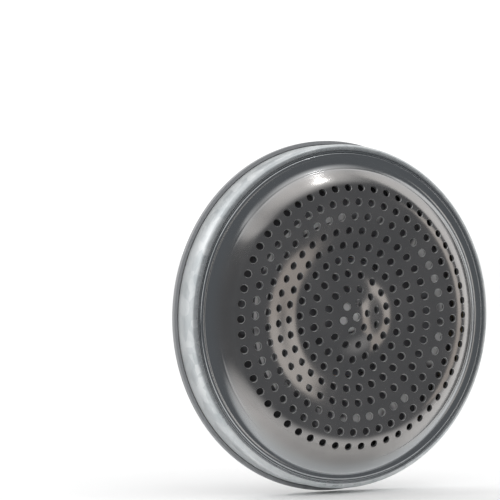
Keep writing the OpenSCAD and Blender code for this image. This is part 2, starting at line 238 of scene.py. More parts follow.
class Finish:
    def __init__(self, name, **fixed):
        self.material = bpy.data.materials.new(name)
        self.material.use_nodes = True
        self.tree = self.material.node_tree
        self.shader = self.tree.nodes["Principled BSDF"]
        self.place = self.add("ShaderNodeTexCoord", output="Object")
        for key, value in fixed.items():
            self.put(key, value)

    def add(self, kind, settings=None, values=None, output=0):
        node = self.tree.nodes.new(kind)
        for key, value in (settings or {}).items():
            setattr(node, key, value)
        for key, value in (values or {}).items():
            self.feed(node.inputs[key], value)
        return Wire(self, node.outputs[output])

    def feed(self, socket, value):
        if isinstance(value, Wire):
            self.tree.links.new(value.socket, socket)
        elif socket.type == "RGBA" and not isinstance(value, float):
            socket.default_value = (*value[:3], 1)
        else:
            socket.default_value = value

    def put(self, key, value):
        names = {"color": "Base Color", "rough": "Roughness", "metal": "Metallic", "normal": "Normal",
                 "coat": "Coat Weight", "coatRough": "Coat Roughness", "specular": "Specular IOR Level",
                 "sheen": "Sheen Weight", "sheenRough": "Sheen Roughness", "glow": "Emission Color",
                 "glowPower": "Emission Strength"}
        self.feed(self.shader.inputs[names[key]], value)

    def noise(self, size, detail=3.0, rough=0.5, place=None):  # size of a feature in mm
        return self.add("ShaderNodeTexNoise", {}, {"Vector": place or self.place, "Scale": 1 / (size * mm),
                                                   "Detail": detail, "Roughness": rough})

    def mapped(self, scale, turn=(0.0, 0.0, 0.0)):
        return self.add("ShaderNodeMapping", {}, {"Vector": self.place, "Rotation": turn, "Scale": scale})

    def cells(self, size, output="Distance"):
        return self.add("ShaderNodeTexVoronoi", {}, {"Vector": self.place, "Scale": 1 / (size * mm)}, output)

    def mix(self, first, second, factor):
        return self.add("ShaderNodeMix", {"data_type": "RGBA"}, {0: factor, 6: first, 7: second}, 2)

    def bump(self, height, depth, strength=1.0, below=None):  # depth in mm
        values = {"Height": height, "Distance": depth * mm, "Strength": strength}
        if below:
            values["Normal"] = below
        return self.add("ShaderNodeBump", {}, values)

    def axes(self):
        parts = [self.add("ShaderNodeSeparateXYZ", {}, {0: self.place}, i) for i in range(3)]
        x, y, z = [part / mm for part in parts]
        return x, y, z

    def radius(self):
        x, _, z = self.axes()
        return (x * x + z * z) ** 0.5


cap = {
    "height": 4.4, "sheet": 0.4, "edgeRound": 0.7, "grooveInset": 1.05, "grooveWidth": 0.6,
    "grooveDepth": 0.25, "footInset": 2.1, "valleyR": 7.6, "crestR": 15.4, "domeRise": 3.1,
    "valleyRise": 1.2, "crestRise": 2.9, "fullness": 1.7, "creaseR": 20.9, "creaseDepth": 0.02,
    "creaseW": 0.11, "beadR": 22.95, "beadHalf": 0.5, "beadHeight": 0.11, "footRound": (0.06, 0.08),
    "rings": 9, "pitch": 2.03, "holeR": 0.53, "holeFlare": 0.065, "holeSides": 20, "firstAngle": 13.4,
    "centreR": 0.5, "drillHalf": 0.6, "steepest": 0.6, "smoothTurn": 14,
}
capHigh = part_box("grille_cap")[1]
skirtR = capHigh.x / mm
skirtFoot = -capHigh.y / mm
footR = skirtR - cap["footInset"]


def rise(r):
    valleyR, crestR = cap["valleyR"], cap["crestR"]
    if r < valleyR:
        return cap["domeRise"] + (cap["valleyRise"] - cap["domeRise"]) * swell(r / valleyR)
    if r < crestR:
        share = swell((r - valleyR) / (crestR - valleyR))
        return cap["valleyRise"] + (cap["crestRise"] - cap["valleyRise"]) * share
    if r < footR:
        return cap["crestRise"] * (1 - swell(((r - crestR) / (footR - crestR)) ** cap["fullness"]))
    return 0.0


def capTop(r):
    crease = cap["creaseDepth"] * math.exp(-((r - cap["creaseR"]) / cap["creaseW"]) ** 2)
    groove = cap["grooveDepth"] * wave((r - (skirtR - cap["grooveInset"])) / (cap["grooveWidth"] / 2))
    bead = cap["beadHeight"] * wave((r - cap["beadR"]) / cap["beadHalf"])
    return cap["height"] + rise(r) - crease - groove + bead


def capOutline():
    sheet, edge = cap["sheet"], cap["edgeRound"]
    edgeStart = skirtR - edge
    radii = steps(cap["holeR"] + cap["holeFlare"], 20.4, 60) + steps(20.55, 21.25, 10)
    radii += steps(21.4, 21.8, 3) + steps(21.9, edgeStart, 26)  # closer at the crease and the groove
    top = [(r, capTop(r)) for r in radii]
    shoulder = [(edgeStart + edge * math.sin(a), cap["height"] - edge + edge * math.cos(a))
                for a in steps(math.radians(9), math.pi / 2, 9)]
    across, up = cap["footRound"]
    foot = [(skirtR, skirtFoot + up), (skirtR - across, skirtFoot), (skirtR - sheet + across, skirtFoot),
            (skirtR - sheet, skirtFoot + up)]
    inner = edge - sheet
    turnIn = [(edgeStart + inner * math.cos(a), cap["height"] - edge + inner * math.sin(a))
              for a in steps(0, math.radians(80), 4)]
    under = [(r, capTop(r) - sheet) for r in reversed(radii[1:])]
    centreTop = capTop(cap["centreR"])
    centre = [(cap["holeR"], centreTop - sheet), (cap["holeR"], centreTop - cap["holeFlare"])]
    return top + shoulder + foot + turnIn + under + centre


def holeCutter():  # a plain drill with a slightly flared mouth
    radius, flare, half = cap["holeR"], cap["holeFlare"], cap["drillHalf"]
    pick()
    bpy.ops.mesh.primitive_cylinder_add(vertices=cap["holeSides"], radius=radius * mm, depth=2 * half * mm)
    drill = bpy.context.object
    bpy.ops.object.mode_set(mode="EDIT")
    bpy.ops.mesh.select_all(action="DESELECT")
    bpy.ops.object.mode_set(mode="OBJECT")
    for face in drill.data.polygons:
        face.select = face.normal.z > 0.9
    bpy.ops.object.mode_set(mode="EDIT")
    bpy.ops.transform.translate(value=(0, 0, -(half + flare) * mm))
    bpy.ops.mesh.extrude_region_move(TRANSFORM_OT_translate={"value": (0, 0, 3 * flare * mm)})
    bpy.ops.transform.resize(value=(1 + 3 * flare / radius,) * 2 + (1,), center_override=(0, 0, 0))
    bpy.ops.mesh.extrude_region_move(TRANSFORM_OT_translate={"value": (0, 0, half * mm)})
    bpy.ops.object.mode_set(mode="OBJECT")
    return drill


def holeCentres():
    for k in range(1, cap["rings"] + 1):
        for i in range(6 * k):
            angle = math.radians(cap["firstAngle"] + 60 * i / k)
            yield k * cap["pitch"] * math.cos(angle), k * cap["pitch"] * math.sin(angle)


def pressedNormal(x, y):  # the way the sheet faces at a place on it
    r = math.hypot(x, y)
    slope = (capTop(r + 0.01) - capTop(r - 0.01)) / 0.02
    return Vector((-slope * x / r, -slope * y / r, 1)).normalized()


capShell = turnPiece("capShell", capOutline())
drill = holeCutter()
drills = []
for x, y in holeCentres():
    copy = drill.copy()
    copy.data = drill.data.copy()
    r = math.hypot(x, y)
    copy.location = (x * mm, y * mm, capTop(r) * mm)
    copy.rotation_euler = pressedNormal(x, y).to_track_quat("Z", "Y").to_euler()  # square to the sheet
    bpy.context.collection.objects.link(copy)
    drills.append(copy)
bpy.data.objects.remove(drill)
cutAway(capShell, drills)


def pressedNormals(piece):  # the sheet shades as one smooth pressing, whatever faces the holes left
    mesh = piece.data
    normals = [(0.0, 0.0, 0.0)] * len(mesh.loops)
    for face in mesh.polygons:
        r = math.hypot(face.center.x, face.center.y) / mm
        if r > skirtR - cap["edgeRound"] or abs(face.normal.z) < cap["steepest"]:
            continue
        side = 1 if face.normal.z > 0 else -1
        ideal = pressedNormal(face.center.x / mm, face.center.y / mm)
        if (face.normal * side).angle(ideal) > math.radians(cap["smoothTurn"]):
            continue
        for index in face.loop_indices:
            point = mesh.vertices[mesh.loops[index].vertex_index].co / mm
            normals[index] = tuple(pressedNormal(point.x, point.y) * side)
    mesh.normals_split_custom_set(normals)


pressedNormals(capShell)
faceFront(capShell)

capSteel = Finish("cap_steel")
_, y, _ = capSteel.axes()
faceShare = (-y).ramp(3.6, 4.3) * (1 - capSteel.radius().ramp(23.2, 24.3) * 0.8)
spangle = capSteel.cells(1.6, output="Color")
spangleTone = capSteel.add("ShaderNodeSeparateColor", {}, {0: spangle})
clouds = capSteel.noise(2.6, 5.0, 0.62)
skirtTone = (spangleTone * 0.16 + clouds * 0.5).ramp(0.12, 0.55)
skirtColor = capSteel.mix((0.42, 0.455, 0.47), (0.7, 0.72, 0.725), skirtTone)
footShare = 1 - (-y).ramp(0.2, 2.8)  # the plating is duller towards the skirt's foot
skirtColor = capSteel.mix(skirtColor, (0.72, 0.745, 0.75), footShare * 0.7)
haze = capSteel.noise(7.0, 4.0, 0.6).ramp(0.3, 0.7)
faceColor = capSteel.mix((0.355, 0.345, 0.338), (0.405, 0.39, 0.38), haze)
faceColor = capSteel.mix(faceColor, (0.44, 0.455, 0.465), capSteel.radius().ramp(20.0, 22.0))
trueNormal = capSteel.add("ShaderNodeNewGeometry", output="True Normal")
facing = capSteel.add("ShaderNodeSeparateXYZ", {}, {0: trueNormal}, 1)
steep = 1 - facing.work("ABSOLUTE", facing).ramp(0.74, 0.84)
cutShare = steep * (1 - capSteel.radius().ramp(19.2, 19.5))  # the walls and mouths of the holes
sheetColor = capSteel.mix(skirtColor, faceColor, faceShare)
underShare = facing.ramp(0.3, 0.6)  # the back of the sheet is not polished
sheetColor = capSteel.mix(sheetColor, (0.86, 0.86, 0.86), underShare)
capSteel.put("color", capSteel.mix(sheetColor, (0.6, 0.6, 0.595), cutShare))
capSteel.put("metal", 0.55 + faceShare * 0.45 - footShare * 0.4)
dust = capSteel.noise(0.16, 2.0, 0.5).ramp(0.6, 0.8)
faceRough = 0.15 + haze * 0.05 + dust * 0.02
skirtRough = 0.3 + skirtTone * 0.12
capSteel.put("rough", faceRough * faceShare + skirtRough * (1 - faceShare) + cutShare * 0.35
             + underShare * 0.25)
ripple = capSteel.noise(3.5, 2.0, 0.5)
capSteel.put("normal", capSteel.bump(clouds * (1 - faceShare) * 0.4 + ripple * 0.35, 0.012,
                                     below=capSteel.bump(dust, 0.001)))
dress(capShell, "grille_cap", "housing", capSteel.material)
print("grille cap made")


moulding = {
    "edge": 0.07, "pocketDepth": 0.4, "pocketInset": 2.4, "pocketTaper": 2.5, "markDepth": 0.05,
    "topPocket": (8, 1.8), "sidePocket": (11.5, 2.4), "windows": 6, "windowAngle": 38, "windowW": 2.2,
    "marks": [(71, 3.2, 3.9), (331, 3.7, 3.9), (156, 2.8, 3.9), (288, 3.5, 3.4)],
    "outerStepR": 18.95, "innerStepR": 17.7, "webOutR": 16.2, "stepDepth": 0.15, "hubWall": 1.2,
    "flare": 0.09, "slotW": 1.4, "slotInR": 18.8, "slotOutR": 22.25, "slotReach": 3.59, "wall": 0.45,
    "shelf": 2.1, "shelfSlope": 0.6, "web": 0.9, "rebate": 0.06, "pocketRound": 0.35, "boardPlay": 0.15,
    "boardTurn": 0.007, "windowShift": 0.1, "windowSpan": (-1, 3), "groove": (0.12, 0.2, 0.28, 0.06),
    "clampPlay": 0.1, "stepDraft": 0.05, "rimCut": 0.2, "slotOver": 0.01, "flareOut": 1.5,
}
frameLow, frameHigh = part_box("frame")
flangeR, flangeRear, wallTop = frameHigh.x / mm, -frameHigh.y / mm, -frameLow.y / mm
yokeLow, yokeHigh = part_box("yoke_cup")
yokeR, yokeRear, yokeRim = yokeHigh.x / mm, -yokeHigh.y / mm, -yokeLow.y / mm
paperLow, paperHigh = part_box("damping_paper")
webRear = -paperLow.y / mm
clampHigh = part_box("clamp_ring")[1]
clampOut = clampHigh.x / mm
shelf = -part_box("surround_glue")[1].y / mm
boardLow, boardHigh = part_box("terminal_board")
recessFloor = -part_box("board_tape")[0].y / mm


def frameOutline():
    wallR, wallIn = skirtR - moulding["wall"], clampOut + moulding["clampPlay"]
    shelfIn, webFront = wallIn - moulding["shelf"], webRear + moulding["web"]
    hubR, rebateR = yokeR + moulding["hubWall"], skirtR + moulding["rebate"]
    stepR, stepZ = moulding["innerStepR"], flangeRear + moulding["stepDepth"]
    grooveIn, grooveMid, grooveOut, grooveSink = moulding["groove"]
    outerStepR, rimCut = moulding["outerStepR"], moulding["rimCut"]
    return softened([
        (yokeR, webRear), (moulding["webOutR"], webRear), (stepR, stepZ), (stepR + grooveIn, stepZ),
        (stepR + grooveMid, stepZ + grooveSink), (stepR + grooveOut, stepZ), (outerStepR, stepZ),
        (outerStepR + moulding["stepDraft"], flangeRear), (flangeR - rimCut, flangeRear),
        (flangeR, flangeRear + rimCut), (flangeR, 0),
        (rebateR, 0), (rebateR, skirtFoot), (wallR, skirtFoot), (wallR, wallTop), (wallIn, wallTop),
        (wallIn, shelf), (shelfIn, shelf), (shelfIn - moulding["shelfSlope"], webFront),
        (hubR, webFront), (hubR, yokeRim), (yokeR, yokeRim)], moulding["edge"])


def flaredBox(name, points, floor):  # a cutter that comes in from behind, with a flared mouth
    box = outlineLoop(name, points, upright=False)
    flare = moulding["flare"]
    middle = [sum(point[i] for point in points) / len(points) for i in (0, 1)]
    spread = [max(abs(point[i] - middle[i]) for point in points) for i in (0, 1)]
    reach, wider = flangeRear + flare / 2 - floor, moulding["flareOut"] * flare
    pick(box)
    bpy.ops.object.mode_set(mode="EDIT")
    bpy.ops.mesh.select_all(action="SELECT")
    bpy.ops.mesh.edge_face_add()
    bpy.ops.transform.translate(value=(0, 0, floor * mm))
    bpy.ops.mesh.extrude_region_move(TRANSFORM_OT_translate={"value": (0, 0, reach * mm)})
    bpy.ops.mesh.extrude_region_move(TRANSFORM_OT_translate={"value": (0, 0, -wider * mm)})
    bpy.ops.transform.resize(value=(1 + wider / spread[0], 1 + wider / spread[1], 1),
                             center_override=(middle[0] * mm, middle[1] * mm, 0))
    bpy.ops.mesh.extrude_region_move(TRANSFORM_OT_translate={"value": (0, 0, -mm)})
    bpy.ops.object.mode_set(mode="OBJECT")
    tidyMesh(box)
    return box


def spun(points, angle):
    c, s = math.cos(math.radians(angle)), math.sin(math.radians(angle))
    return [(x * c - y * s, x * s + y * c) for x, y in points]


def pocketCutter(angle, size):
    width, depth = size
    outer = flangeR - moulding["pocketInset"]
    half, narrow = width / 2, (width - moulding["pocketTaper"]) / 2
    corners = softened([(outer, half), (outer - depth, narrow), (outer - depth, -narrow), (outer, -half)],
                       moulding["pocketRound"])
    return flaredBox("pocket", spun(corners, angle), flangeRear + moulding["pocketDepth"])


def markCutter(angle, inset, diameter):
    ring = [(flangeR - inset + diameter / 2 * math.cos(a), diameter / 2 * math.sin(a))
            for a in steps(0, 2 * math.pi, 32)[:-1]]
    return flaredBox("mark", spun(ring, angle), flangeRear + moulding["markDepth"])


def sectorOutline(innerR, outerR, halfAngle):
    outer = [(outerR * math.sin(a), -outerR * math.cos(a)) for a in steps(-halfAngle, halfAngle, 14)]
    inner = [(innerR * math.sin(a), -innerR * math.cos(a)) for a in steps(halfAngle, -halfAngle, 14)]
    return outer + inner


board = {"outR": 23.9, "inR": 20.8, "chamfer": 0.04, "padInset": 1.15}
boardAngle = math.asin(boardHigh.x / mm / board["outR"])


def slotLoop(name):  # the way of the lead wires, cut in the frame and in the board
    half, inner, outer = moulding["slotW"] / 2, -moulding["slotInR"], -moulding["slotOutR"]
    return outlineLoop(name, [(half, inner), (-half, inner), (-half, outer), (half, outer)], upright=False)


def frameCutters():
    cutters = [pocketCutter(90, moulding["topPocket"])]
    cutters += [pocketCutter(angle, moulding["sidePocket"]) for angle in (0, 180)]
    cutters += [markCutter(*mark) for mark in moulding["marks"]]
    middle = (yokeR + moulding["hubWall"] + paperHigh.x / mm) / 2 + moulding["windowShift"]
    near, far = middle - moulding["windowW"] / 2, middle + moulding["windowW"] / 2
    rear, front = moulding["windowSpan"]
    for i in range(moulding["windows"]):
        centre = 360 * (i + 0.5) / moulding["windows"] + 90
        cutters.append(turnPiece("window", [(near, rear), (far, rear), (far, front), (near, front)], 20,
                                 moulding["windowAngle"], centre - moulding["windowAngle"] / 2))
    play = moulding["boardPlay"]
    sector = sectorOutline(board["inR"] - play, board["outR"] + play, boardAngle + moulding["boardTurn"])
    cutters.append(flaredBox("recess", softened(sector, 0.1), recessFloor))
    return cutters + [pushed(slotLoop("slot"), recessFloor - moulding["slotOver"],
                             recessFloor + moulding["slotReach"])]


rearFrame = turnPiece("rearFrame", frameOutline())
for cutter in frameCutters():
    cutAway(rearFrame, [cutter])
faceFront(rearFrame)

framePlastic = Finish("frame_plastic", specular=0.8)
grain = framePlastic.noise(0.22, 3.0, 0.6)
flow = framePlastic.noise(6.0, 4.0, 0.55)
rub = framePlastic.noise(1.1, 5.0, 0.7).ramp(0.6, 0.78)
fromAxis = framePlastic.radius()
_, y, _ = framePlastic.axes()
paintedLipSheen = fromAxis.ramp(24.35, 24.6) * (1 - y.ramp(0.8, 1.2))  # painted reflection: the front of the lip is made light grey, standing in for the light its gloss catches
blackTone = framePlastic.mix((0.022, 0.0235, 0.025), (0.05, 0.052, 0.055),
                             flow.ramp(0.35, 0.75) * 0.6 + rub * 0.4)
framePlastic.put("color", framePlastic.mix(blackTone, (0.22, 0.225, 0.235), paintedLipSheen))
framePlastic.put("rough", 0.3 + flow * 0.14 + grain * 0.1 + rub * 0.08)
framePlastic.put("normal", framePlastic.bump(grain, 0.012, 0.6))
dress(rearFrame, "frame", "housing", framePlastic.material)
print("frame made")


yoke = {"round": 1.85, "ventR": 2.0, "floor": 1.6, "innerR": 9.3, "edge": 0.12}


def yokeOutline():
    rounding = yoke["round"]
    arc = [(yokeR - rounding + rounding * math.sin(a), yokeRear + rounding - rounding * math.cos(a))
           for a in steps(0, math.pi / 2, 12)]
    rest = softened([(yokeR, yokeRim), (yoke["innerR"], yokeRim), (yoke["innerR"], yokeRear + yoke["floor"]),
                     (yoke["ventR"], yokeRear + yoke["floor"]), (yoke["ventR"], yokeRear)], yoke["edge"])
    return arc + rest[1:]


yokeCup = turnPiece("yokeCup", yokeOutline(), 160)
faceFront(yokeCup)

yokeSteel = Finish("yoke_steel", metal=1.0)
r = yokeSteel.radius()
mottle = yokeSteel.noise(1.3, 6.0, 0.65)
fine = yokeSteel.noise(0.25, 3.0, 0.6)
wallShare = r.ramp(10.2, 10.8)
zinc = yokeSteel.mix((0.075, 0.1, 0.125), (0.2, 0.24, 0.27), (mottle * 0.7 + fine * 0.3).ramp(0.35, 0.66))
streaks = yokeSteel.noise(0.5, 4.0, 0.6, yokeSteel.mapped((1.0, 0.12, 1.0))).ramp(0.35, 0.7)
# painted shade: the cup's side wall is coloured near black for the dark surroundings it reflects; its
# streaks are real stamping marks
wall = yokeSteel.mix((0.035, 0.031, 0.03), (0.16, 0.145, 0.14), streaks)
# partly real wear, partly painted highlight: a pale, smoother ring where the flat rear of the cup turns into
# its rounding
wornEdgeAndHighlight = r.ramp(8.95, 9.15) * (1 - r.ramp(9.35, 9.75)) * (mottle * 1.3).ramp(0.3, 0.6)
scratch = yokeSteel.noise(0.9, 2.0, 0.5, yokeSteel.mapped((0.09, 1.0, 1.6), (0.0, 0.7, 0.0)))
scratchLines = scratch.ramp(0.63, 0.68)
body = yokeSteel.mix(yokeSteel.mix(zinc, wall, wallShare), (0.72, 0.73, 0.72), wornEdgeAndHighlight)
yokeSteel.put("color", yokeSteel.mix(body, (0.42, 0.45, 0.47), scratchLines * 0.35 * (1 - wallShare)))
yokeSteel.put("rough", 0.42 + mottle * 0.12 - wornEdgeAndHighlight * 0.2 + streaks * wallShare * 0.1)
yokeSteel.put("normal", yokeSteel.bump(fine + scratchLines * 0.6, 0.01,
                                       below=yokeSteel.bump(streaks * wallShare, 0.03)))
dress(yokeCup, "yoke_cup", "housing", yokeSteel.material)

feltLow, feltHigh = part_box("vent_felt")
feltR, feltRear, feltFront = feltHigh.x / mm, -feltHigh.y / mm, -feltLow.y / mm
felt = {"dent": 0.07, "dentR": 3.9, "dentW": 0.25, "sag": 0.0112, "edgeStart": 0.14,
        "edge": [(0.05, 0.04), (0, 0.13)]}


def feltOutline():
    def rear(r):
        ring = felt["dent"] * math.exp(-((r - felt["dentR"]) / felt["dentW"]) ** 2)
        return feltRear + ring + felt["sag"] * (1 - swell(min(1, r / felt["dentR"])))
    points = [(r, rear(r)) for r in steps(0, feltR - felt["edgeStart"], 36)]
    points += [(feltR - inward, feltRear + up) for inward, up in felt["edge"]]
    return points + [(feltR, feltFront), (0, feltFront)]


feltDisc = turnPiece("feltDisc", feltOutline(), 128)
faceFront(feltDisc)
feltCloth = Finish("vent_felt", sheen=0.35, sheenRough=0.6, specular=0.2)
hairs = feltCloth.noise(0.09, 4.0, 0.7)
tufts = feltCloth.noise(0.45, 5.0, 0.65)
specks = feltCloth.cells(0.35).ramp(0.05, 0.16)
ringDent = feltCloth.radius()
ringShade = ringDent.ramp(3.55, 3.9) * (1 - ringDent.ramp(3.9, 4.3))
feltTone = (hairs * 0.5 + tufts * 0.5).ramp(0.3, 0.68)
feltColor = feltCloth.mix((0.34, 0.35, 0.345), (0.66, 0.675, 0.665), feltTone)
feltColor = feltCloth.mix(feltColor, (0.3, 0.3, 0.29), (1 - specks) * 0.35)
feltCloth.put("color", feltCloth.mix(feltColor, (0.62, 0.63, 0.61), ringShade * 0.3))
feltCloth.put("rough", 0.86 + hairs * 0.12)
feltCloth.put("normal", feltCloth.bump(hairs * 0.6 + tufts * 0.5, 0.05))
dress(feltDisc, "vent_felt", "housing", feltCloth.material)

paper = {"gap": 0.3, "edge": 0.05, "notchR": 0.5, "notchAngle": math.radians(53)}
paperIn, paperOut, paperRear = yokeR + paper["gap"], paperHigh.x / mm, -paperHigh.y / mm
paperRing = turnPiece("paperRing", softened([(paperIn, webRear), (paperIn, paperRear), (paperOut, paperRear),
                                            (paperOut, webRear)], paper["edge"]))
pick()
bpy.ops.mesh.primitive_cylinder_add(vertices=24, radius=paper["notchR"] * mm, depth=3 * mm,
                                    location=(paperOut * math.cos(paper["notchAngle"]) * mm,
                                              paperOut * math.sin(paper["notchAngle"]) * mm, 0))
cutAway(paperRing, [bpy.context.object])
faceFront(paperRing)
dampPaper = Finish("damping_paper", specular=0.25)
fibreX = dampPaper.noise(0.5, 4.0, 0.6, dampPaper.mapped((0.25, 1.0, 1.4), (0.0, 0.4, 0.0)))
fibreZ = dampPaper.noise(0.5, 4.0, 0.6, dampPaper.mapped((1.4, 1.0, 0.25), (0.0, -0.9, 0.0)))
fibres = (fibreX * 0.5 + fibreZ * 0.5).ramp(0.36, 0.64)
pulp = dampPaper.noise(1.6, 4.0, 0.6)
dampPaper.put("color", dampPaper.mix((0.25, 0.255, 0.265), (0.43, 0.44, 0.455), fibres * 0.55 + pulp * 0.45))
dampPaper.put("rough", 0.78 + fibres * 0.12)
dampPaper.put("normal", dampPaper.bump(fibres + pulp * 0.5, 0.02))
dress(paperRing, "damping_paper", "housing", dampPaper.material)
print("yoke, felt and paper made")


boardRear, boardFront = -boardHigh.y / mm, -boardLow.y / mm
padLow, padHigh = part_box("solder_pads")
padX, padZ = padHigh.x / mm - board["padInset"], (padLow.z + padHigh.z) / 2 / mm
padRear = -padHigh.y / mm
solderLow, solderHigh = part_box("solder_joints")
solderTip = -solderHigh.y / mm
solderR = (solderHigh.z - solderLow.z) / 2 / mm

boardPlate = outlineLoop("boardPlate", sectorOutline(board["inR"], board["outR"], boardAngle), upright=False)
pushed(boardPlate, boardRear, boardFront, board["chamfer"])
cutAway(boardPlate, [pushed(slotLoop("notch"), boardRear - 1, boardFront + 1, 0.05)])
faceFront(boardPlate)

boardGreen = Finish("board_laminate", coat=0.6, coatRough=0.12)
x, _, _ = boardGreen.axes()
r = boardGreen.radius()
weave = boardGreen.noise(0.3, 3.0, 0.6)
rimShare = 1 - r.ramp(20.95, 21.15) * (1 - r.ramp(23.6, 23.8))
mask = boardGreen.mix((0.006, 0.045, 0.026), (0.012, 0.085, 0.05), weave)
offPad = x.work("ABSOLUTE", x) - padX
trace = offPad.work("ABSOLUTE", offPad)
traceShare = 1 - trace.ramp(1.25, 1.4)
mask = boardGreen.mix(mask, (0.02, 0.14, 0.075), traceShare * 0.5)
boardGreen.put("color", boardGreen.mix(mask, (0.16, 0.36, 0.19), rimShare * 0.6))
boardGreen.put("rough", 0.32 + weave * 0.15)
boardGreen.put("normal", boardGreen.bump(weave + traceShare * 0.8, 0.02))
dress(boardPlate, "terminal_board", "housing", boardGreen.material)

solder = {"height": padRear - solderTip, "dimple": 0.28, "dimpleR": 0.3, "spread": 0.9, "round": (2.4, 0.75)}


def solderOutline():
    flat, steepness = solder["round"]
    points = []
    for t in steps(0, 1, 18):
        r = solderR * math.sin(t * math.pi / 2) ** solder["spread"]
        body = solder["height"] * (1 - t ** flat) ** steepness
        sink = solder["dimple"] * math.exp(-(r / solder["dimpleR"]) ** 2)
        points.append((r, padRear - max(0.0, body - sink)))
    return points + [(0, padRear)]


joints = []
for side in (-1, 1):
    drop = turnPiece("solderDrop", solderOutline(), 40)
    pick(drop)
    drop.location = (side * padX * mm, padZ * mm, 0)
    bpy.ops.object.transform_apply(location=True)
    joints.append(drop)
pick(*joints)
bpy.ops.object.join()
solderDrops = bpy.context.object
solderDrops.name = "solderDrops"
faceFront(solderDrops)
solderMetal = Finish("solder", metal=1.0)
frost = solderMetal.noise(0.35, 4.0, 0.6)
solderMetal.put("color", solderMetal.mix((0.5, 0.5, 0.49), (0.86, 0.86, 0.85), frost.ramp(0.3, 0.65)))
solderMetal.put("rough", 0.16 + frost * 0.22)
solderMetal.put("normal", solderMetal.bump(frost, 0.03))
dress(solderDrops, "solder_joints", "housing", solderMetal.material)
print("terminal board made")


film = {"thick": 0.12, "crestR": 15.4, "ribs": 40, "ribDepth": 0.05, "ribTwist": 0.9,
        "beadR": 13.6, "beadW": 0.75, "beadH": 0.3, "clampW": 1.7, "split": 0.1}
domeLow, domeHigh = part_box("diaphragm_dome")
filmPeak, filmEdge = -domeLow.y / mm, -clampHigh.y / mm
filmUnder = filmPeak - cap["domeRise"]
crestTop = filmUnder + cap["crestRise"]
clampIn = clampOut - film["clampW"]


def filmTop(r):
    if r < film["crestR"]:
        return filmUnder + rise(r) + film["beadH"] * wave((r - film["beadR"]) / film["beadW"])
    if r < clampIn:
        return crestTop + (filmEdge - crestTop) * swell((r - film["crestR"]) / (clampIn - film["crestR"]))
    return filmEdge


def filmOutline(radii):
    return [(r, filmTop(r)) for r in radii] + [(r, filmTop(r) - film["thick"]) for r in reversed(radii)]


domeFilm = turnPiece("domeFilm", filmOutline(steps(0, domeHigh.x / mm, 32)), 128)
faceFront(domeFilm)
rollRadii = steps(domeHigh.x / mm + film["split"], 12.8, 16) + steps(12.9, 14.3, 14)  # closer at the bead
rollRadii += steps(14.45, clampIn, 24) + [clampOut]
rollFilm = turnPiece("rollFilm", filmOutline(rollRadii), 160)
faceFront(rollFilm)

filmFinish = Finish("film", coatRough=0.15)
cloudy = filmFinish.noise(4.0, 3.0, 0.5)
x, _, z = filmFinish.axes()
fromAxis = filmFinish.radius()
ribAngle = x.work("ARCTAN2", z, x)
ribs = x.work("SINE", ribAngle * film["ribs"] + fromAxis * film["ribTwist"])
ribShare = fromAxis.ramp(15.6, 17.0) * (1 - fromAxis.ramp(19.6, 20.6))
# painted glints: a near-white ring on the film, broken into patches, and a near-white centre stand in for
# light glinting through the holes
glintPatches = filmFinish.noise(7.0, 2.0, 0.5).ramp(0.44, 0.52)
paintedGlintRing = fromAxis.ramp(13.7, 13.8) * (1 - fromAxis.ramp(15.5, 15.6)) * glintPatches
paintedGlintShare = 1 - fromAxis.ramp(1.9, 2.3) + paintedGlintRing
filmFinish.put("metal", (1 - paintedGlintShare) * 0.5)
filmFinish.put("color", filmFinish.mix(filmFinish.mix((0.14, 0.14, 0.145), (0.26, 0.26, 0.27), cloudy),
                                       (0.97, 0.97, 0.97), paintedGlintShare))
filmFinish.put("coat", paintedGlintShare)
filmFinish.put("rough", 0.1 + cloudy * 0.1)
filmFinish.put("normal", filmFinish.bump(ribs * ribShare, film["ribDepth"],
                                         below=filmFinish.bump(cloudy, 0.05)))
dress(domeFilm, "diaphragm_dome", "moving_coil", filmFinish.material)
rollFilm.data.materials.append(filmFinish.material)
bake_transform(rollFilm)
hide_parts("diaphragm_surround")
print("film made")


def toned(name, low, high, size, rough, depth, **fixed):  # two tones clouded together, with a fine grain
    finish = Finish(name, **fixed)
    cloud = finish.noise(size, 4.0, 0.6)
    fineGrain = finish.noise(size * 0.2, 3.0, 0.6)
    finish.put("color", finish.mix(low, high, (cloud * 0.6 + fineGrain * 0.4).ramp(0.3, 0.7)))
    finish.put("rough", rough + fineGrain * 0.14)
    finish.put("normal", finish.bump(cloud * 0.5 + fineGrain, depth))
    return finish


foam = toned("gasket_foam", (0.012, 0.012, 0.013), (0.035, 0.035, 0.037), 0.5, 0.85, 0.05)
clampLaminate = toned("clamp_plastic", (0.42, 0.27, 0.1), (0.62, 0.46, 0.22), 1.2, 0.45, 0.01)
clearGlue = toned("glue", (0.55, 0.5, 0.34), (0.75, 0.7, 0.52), 1.0, 0.2, 0.04, coat=0.4)
formerFilm = toned("former_film", (0.42, 0.19, 0.05), (0.6, 0.3, 0.09), 1.5, 0.25, 0.01)
plateZinc = toned("plate_steel", (0.42, 0.43, 0.44), (0.66, 0.67, 0.68), 1.4, 0.28, 0.008, metal=1.0)
nickel = toned("magnet_nickel", (0.55, 0.54, 0.52), (0.72, 0.71, 0.69), 2.0, 0.16, 0.006, metal=1.0)
darkGlue = toned("dark_glue", (0.008, 0.008, 0.008), (0.03, 0.029, 0.028), 0.8, 0.3, 0.06)
tapeFinish = toned("tape", (0.6, 0.58, 0.5), (0.76, 0.74, 0.66), 0.9, 0.7, 0.01)
padTin = toned("pad_copper", (0.56, 0.47, 0.3), (0.78, 0.7, 0.52), 0.6, 0.26, 0.008, metal=1.0)

